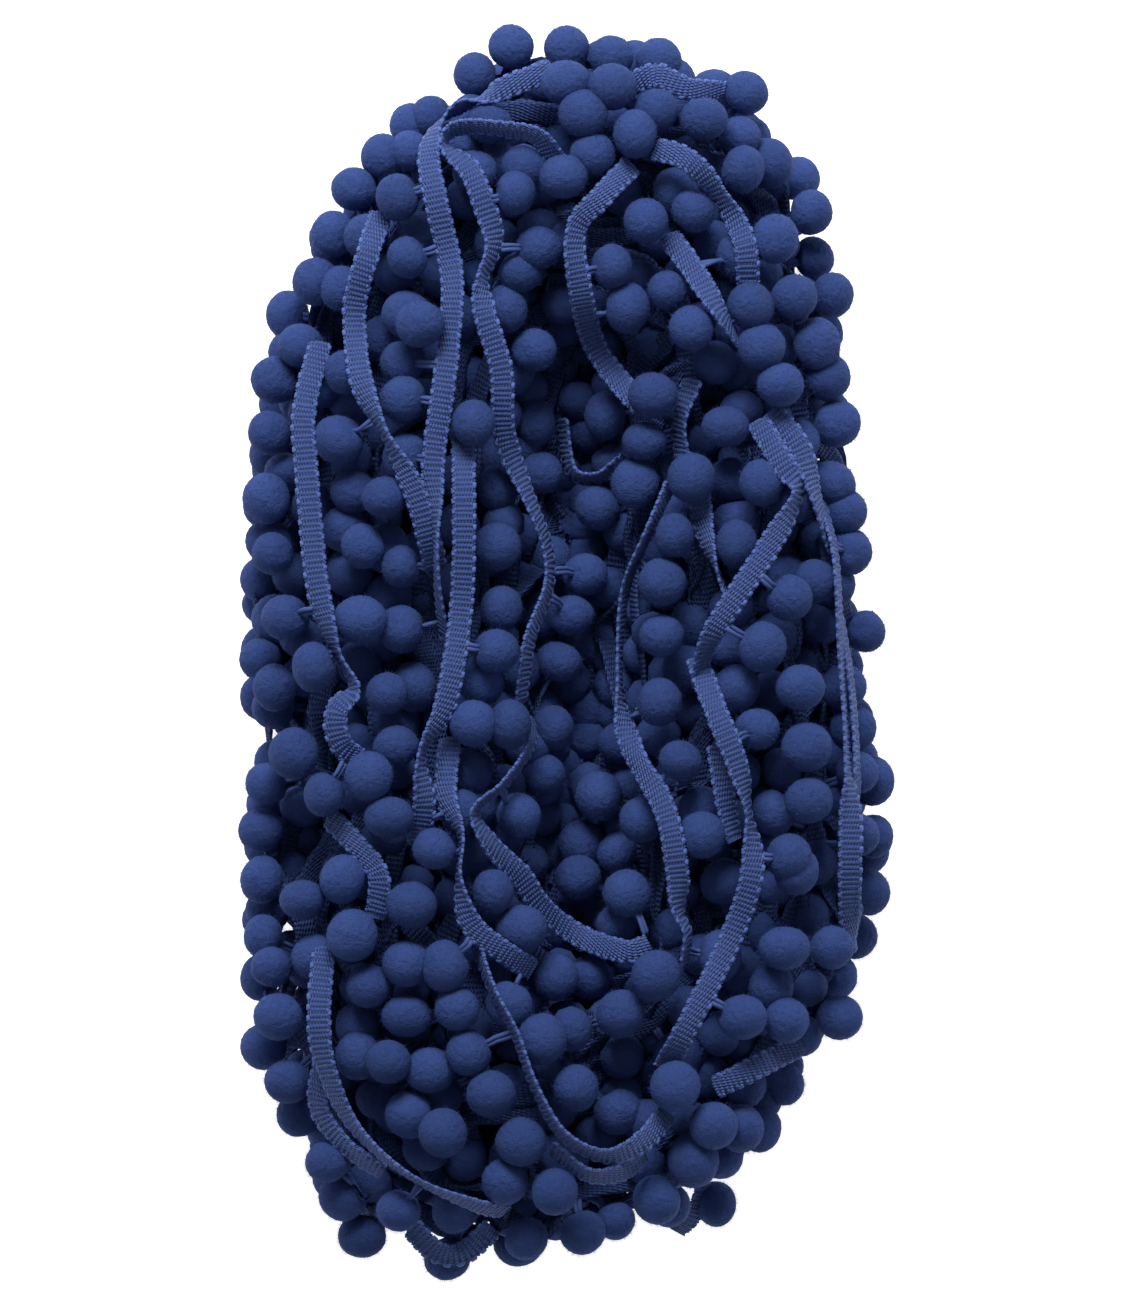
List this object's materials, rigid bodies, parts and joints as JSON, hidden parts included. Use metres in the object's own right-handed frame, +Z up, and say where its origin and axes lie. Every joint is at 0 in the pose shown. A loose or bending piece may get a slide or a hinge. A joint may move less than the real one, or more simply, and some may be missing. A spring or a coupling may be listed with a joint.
{
  "type": "pompom fringe trim",
  "caption": "Hank of pompom fringe: a long narrow woven tape edged with small round pompoms, wound into a flat oval heap with its middle squeezed shut and its cut end lying loose beside it.",
  "frame": {"origin": "on the surface that the hank lies on, under the middle of its bounding box", "axes": "+X across the hank, +Y along it towards the end where the loose stretches arch over, +Z up"},
  "size_m": [0.1431, 0.2721, 0.0575],
  "materials": {
    "pompom_felt": "dense matt navy yarn pompoms with a short fuzz",
    "woven_tape": "ribbed woven navy tape with looped edges"
  },
  "bodies": {
    "root": {"hank": "pompom_felt", "loose_end": "woven_tape"}
  },
  "joints": []
}
